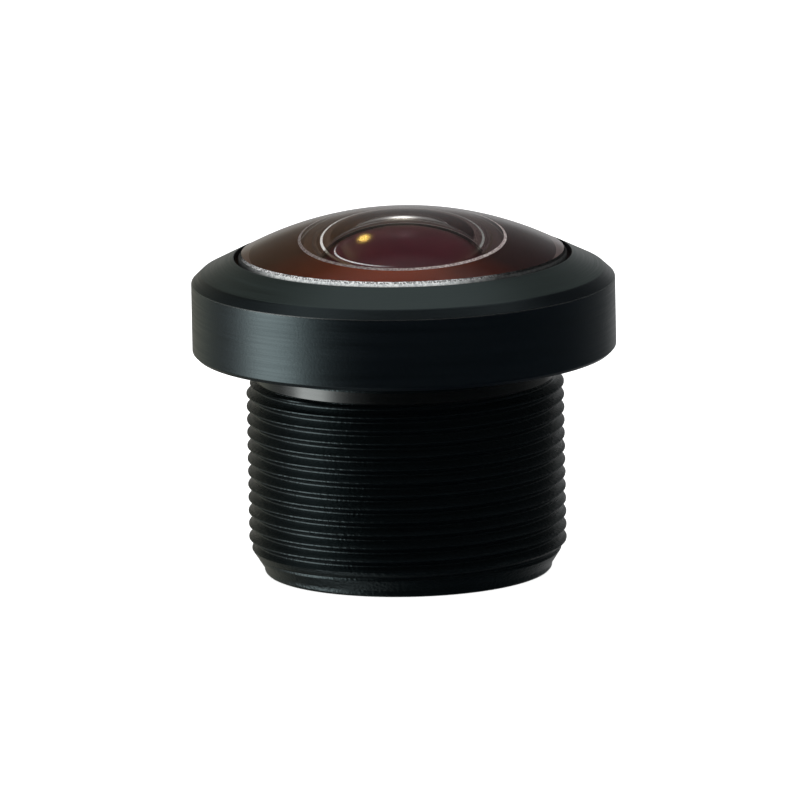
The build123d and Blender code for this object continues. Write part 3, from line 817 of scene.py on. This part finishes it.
def plain_finish(name, colour, roughness, marks_per_mm):
    tree = Tree(name)
    marks = turned_marks(tree, marks_per_mm, 2.0)
    tone = tree.ramp(marks, [(0.3, [c * 0.7 for c in colour]), (0.7, [c * 1.3 for c in colour])])
    shader = tree.node(
        "BsdfPrincipled",
        {"Base Color": tone, "Roughness": roughness, "Specular IOR Level": DULL_GLOSS,
         "Normal": tree.bump(marks, SOFT_MARKS)},
    )
    return tree.finish(shader.outputs[0])


spacer_finish = plain_finish("blackened_spacer", (0.006, 0.006, 0.007), 0.5, 20)
# painted reflection: the front spacer's bronze colour stands for the warm colour seen through the glass
bronze_sheen_finish = plain_finish("spacer_painted_bronze_sheen", (0.085, 0.055, 0.056), 0.6, 20)
seal_finish = plain_finish("seal_rubber", (0.012, 0.012, 0.012), 0.7, 6)
film_finish = plain_finish("slip_film", (0.01, 0.01, 0.011), 0.45, 14)
filter_finish = coated_glass(
    "filter_glass", index=1.52, body=(0.75, 0.95, 0.93), tint=(1.0, 0.35, 0.3))
ring_finish = anodised(
    "ring_anodised", (0.005, 0.006, 0.0065), roughness=0.42, marks_per_mm=24, mark_depth=1.2e-6,
    spread=0.4)
NODE_FINISHES = {
    "front_spacer": bronze_sheen_finish, "middle_spacer": spacer_finish, "stop_spacer": spacer_finish,
    "rear_spacer": spacer_finish, "filter_spacer": spacer_finish, "aperture_stop": spacer_finish,
    "front_o_ring": seal_finish, "front_slip_washer": film_finish, "rear_slip_washer": film_finish,
    "light_baffle": film_finish, "infrared_filter": filter_finish, "rear_retaining_ring": ring_finish,
}
for node, finish in NODE_FINISHES.items():
    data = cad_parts[node].data
    data.materials.clear()
    data.materials.append(finish)
print("finished CAD nodes:", len(NODE_FINISHES))

# %% [markdown]
# The floor
#
# The floor is pale paper. It is left out of the mirror reflections and of what the glass
# lets through, as if the lens stood on a small table with dark cloth round it, because a
# black lens on white paper would otherwise look grey. The picture shows no shadow under
# the lens, so the paper also gives some light of its own, which drowns the shadow.

# %% Lay the floor
PAPER_LIGHT = 0.75
FLOOR_HALF, FLOOR_HEIGHT = 3.0, -5e-6     # a hair below the lens, whose rear face is flat
paper = Tree("pale_paper")
paper_tone = paper.ramp(paper.noise(0.4), [(0.3, (0.93, 0.93, 0.93)), (0.7, (0.95, 0.95, 0.95))])
floor_finish = paper.finish(
    paper.node(
        "BsdfPrincipled",
        {"Base Color": paper_tone, "Roughness": 0.9, "Specular IOR Level": 0.1,
         "Emission Color": (1, 1, 1, 1), "Emission Strength": PAPER_LIGHT},
    ).outputs[0])
floor_mesh = bpy.data.meshes.new("paper_floor")
corners = [
    (x * FLOOR_HALF, y * FLOOR_HALF, FLOOR_HEIGHT) for x, y in ((-1, -1), (1, -1), (1, 1), (-1, 1))]
floor_mesh.from_pydata(corners, [], [(0, 1, 2, 3)])
floor_mesh.materials.append(floor_finish)
floor = bpy.data.objects.new("paper_floor", floor_mesh)
bpy.context.scene.collection.objects.link(floor)
floor.visible_glossy = False
floor.visible_transmission = False
print("floor laid:", 2 * FLOOR_HALF, "metres wide")

# %% [markdown]
# The walls of the studio
#
# A catalogue picture of a black object needs few, large lights: a tall one at the left,
# which draws the bright band on the head, and a bright roof behind, which draws the cone
# and the dome. Lamps or cards could stand round the lens, but a black lens shows little but
# its mirror images, and those are easier to shape on the wall of the world. So one ramp
# lists how bright the wall is round the lens, and another how it fades with the height.

# %% Paint the walls and the roof
STUDIO_ROUND = [
    # place round the lens in degrees (0 is the camera's side, -90 the left), brightness or colour
    (-180, 0.45), (-174, (0.37, 0.36, 0.33)), (-165, (0.34, 0.33, 0.28)),
    (-150, (0.32, 0.32, 0.265)), (-138, (0.33, 0.35, 0.3)), (-128, (0.24, 0.25, 0.225)),
    (-112, 0.26), (-98, 0.9), (-87, 3.4), (-69, 3.2), (-56, 0.7), (-44, 0.15), (-25, 0.016),
    (0, 0.004), (60, 0.006), (100, 0.03), (140, 0.13), (165, 0.42), (180, 0.45),
]
STUDIO_UP = [
    # height above the horizon in degrees, share of the brightness at the horizon
    (-90, 0.1), (-45, 0.2), (-22, 0.8), (-6, 0.9), (3, 1.0), (8.5, 0.62), (12, 0.46),
    (16, 0.39), (20, 0.32), (30, 0.2), (90, 0.0),
]
ROOF_UP = [(50, 0.0), (62, 1.0), (90, 1.0)]
ROOF_DARK, ROOF_BRIGHT = 0.015, 0.6       # over the camera's side, and behind the lens
ROOF_FADE = (-0.1, 0.4)                   # how far back the roof starts to brighten and is full


def ramp_of(tree, value, stops, low, high):
    """Reads a brightness or colour between listed places, which run from low to high."""
    share = tree.node("MapRange", {"Value": value, "From Min": low, "From Max": high}).outputs[0]
    colours = [level if isinstance(level, tuple) else (level,) * 3 for _, level in stops]
    places = [(place - low) / (high - low) for place, _ in stops]
    return tree.ramp(share, list(zip(places, colours)))


world = bpy.data.worlds.new("studio_tent")
bpy.context.scene.world = world
studio = Tree("studio_tent", world)
direction = studio.node("TexCoord").outputs["Generated"]
towards = studio.node("SeparateXYZ", {0: direction})
to_camera = studio.math("MULTIPLY", towards.outputs["Y"], -1)
around = studio.math("DEGREES", studio.math("ARCTAN2", towards.outputs["X"], to_camera))
height = studio.math("DEGREES", studio.math("ARCSINE", towards.outputs["Z"]))
walls = studio.vector(
    "MULTIPLY", ramp_of(studio, around, STUDIO_ROUND, -180, 180),
    ramp_of(studio, height, STUDIO_UP, -90, 90))
roof_back = studio.node(
    "MapRange", {"Value": towards.outputs["Y"], "From Min": ROOF_FADE[0], "From Max": ROOF_FADE[1],
                 "To Min": ROOF_DARK, "To Max": ROOF_BRIGHT}).outputs[0]
roof = studio.vector("SCALE", ramp_of(studio, height, ROOF_UP, -90, 90), roof_back)
tent = studio.vector("ADD", walls, roof)
print("walls painted with", len(STUDIO_ROUND), "places round and", len(STUDIO_UP), "up")

# %% [markdown]
# Light inside the glass
#
# Light that has gone through the front glass is weaker in the picture, but three soft
# glows stand out: a golden one from the left, a white one from behind and a faint wide one
# round it. They could be lamps, but lamps would shine on the metal too. So the world asks
# each ray what it is: a ray that has come through the glass sees dimmer walls and the three
# glows, a ray that a surface mirrors sees the walls alone, and all else gets a plain white
# light.

# %% Light the glass and finish the world
LOST_IN_GLASS = 0.85                      # share of the walls' light
PLAIN_LIGHT = 0.9
GLOWS = [
    # place round the lens, height above the horizon, radius of the glow (degrees), colour
    (-90, 39, 5.6, (24, 19, 7.6)), (180, 30, 9, (3.2, 3.2, 3.1)), (180, 15, 40, (0.25, 0.24, 0.24)),
]


def soft_glow(tree, towards, round_at, up_at, radius, colour):
    """A soft round light on the wall of the world, half as bright at its radius."""
    across, up = math.radians(round_at), math.radians(up_at)
    way = (math.sin(across) * math.cos(up), -math.cos(across) * math.cos(up), math.sin(up))
    gap = tree.vector("DISTANCE", towards, way)
    fall = tree.math("POWER", tree.math("DIVIDE", gap, math.radians(radius)), 2.0)
    return tree.vector("SCALE", colour, tree.math("POWER", 0.5, fall))


ray = studio.node("LightPath")
in_glass = ray.outputs["Is Transmission Ray"]
left_over = studio.math("SUBTRACT", 1.0, studio.math("MULTIPLY", in_glass, LOST_IN_GLASS))
seen = studio.vector("SCALE", tent, left_over)
for values in GLOWS:
    glow = soft_glow(studio, direction, *values)
    seen = studio.vector("ADD", seen, studio.vector("SCALE", glow, in_glass))
mirrored = studio.node("Background", {"Color": seen, "Strength": 1.0})
plain = studio.node("Background", {"Color": (1, 1, 1, 1), "Strength": PLAIN_LIGHT})
in_mirror = studio.math("MAXIMUM", ray.outputs["Is Glossy Ray"], in_glass)
scattered = studio.math("MINIMUM", ray.outputs["Diffuse Depth"], 1.0)
in_mirror = studio.math("MULTIPLY", in_mirror, studio.math("SUBTRACT", 1.0, scattered))
studio.finish(
    studio.node("MixShader", {0: in_mirror, 1: plain.outputs[0], 2: mirrored.outputs[0]}).outputs[0]
)
print("studio ready:", world.name)
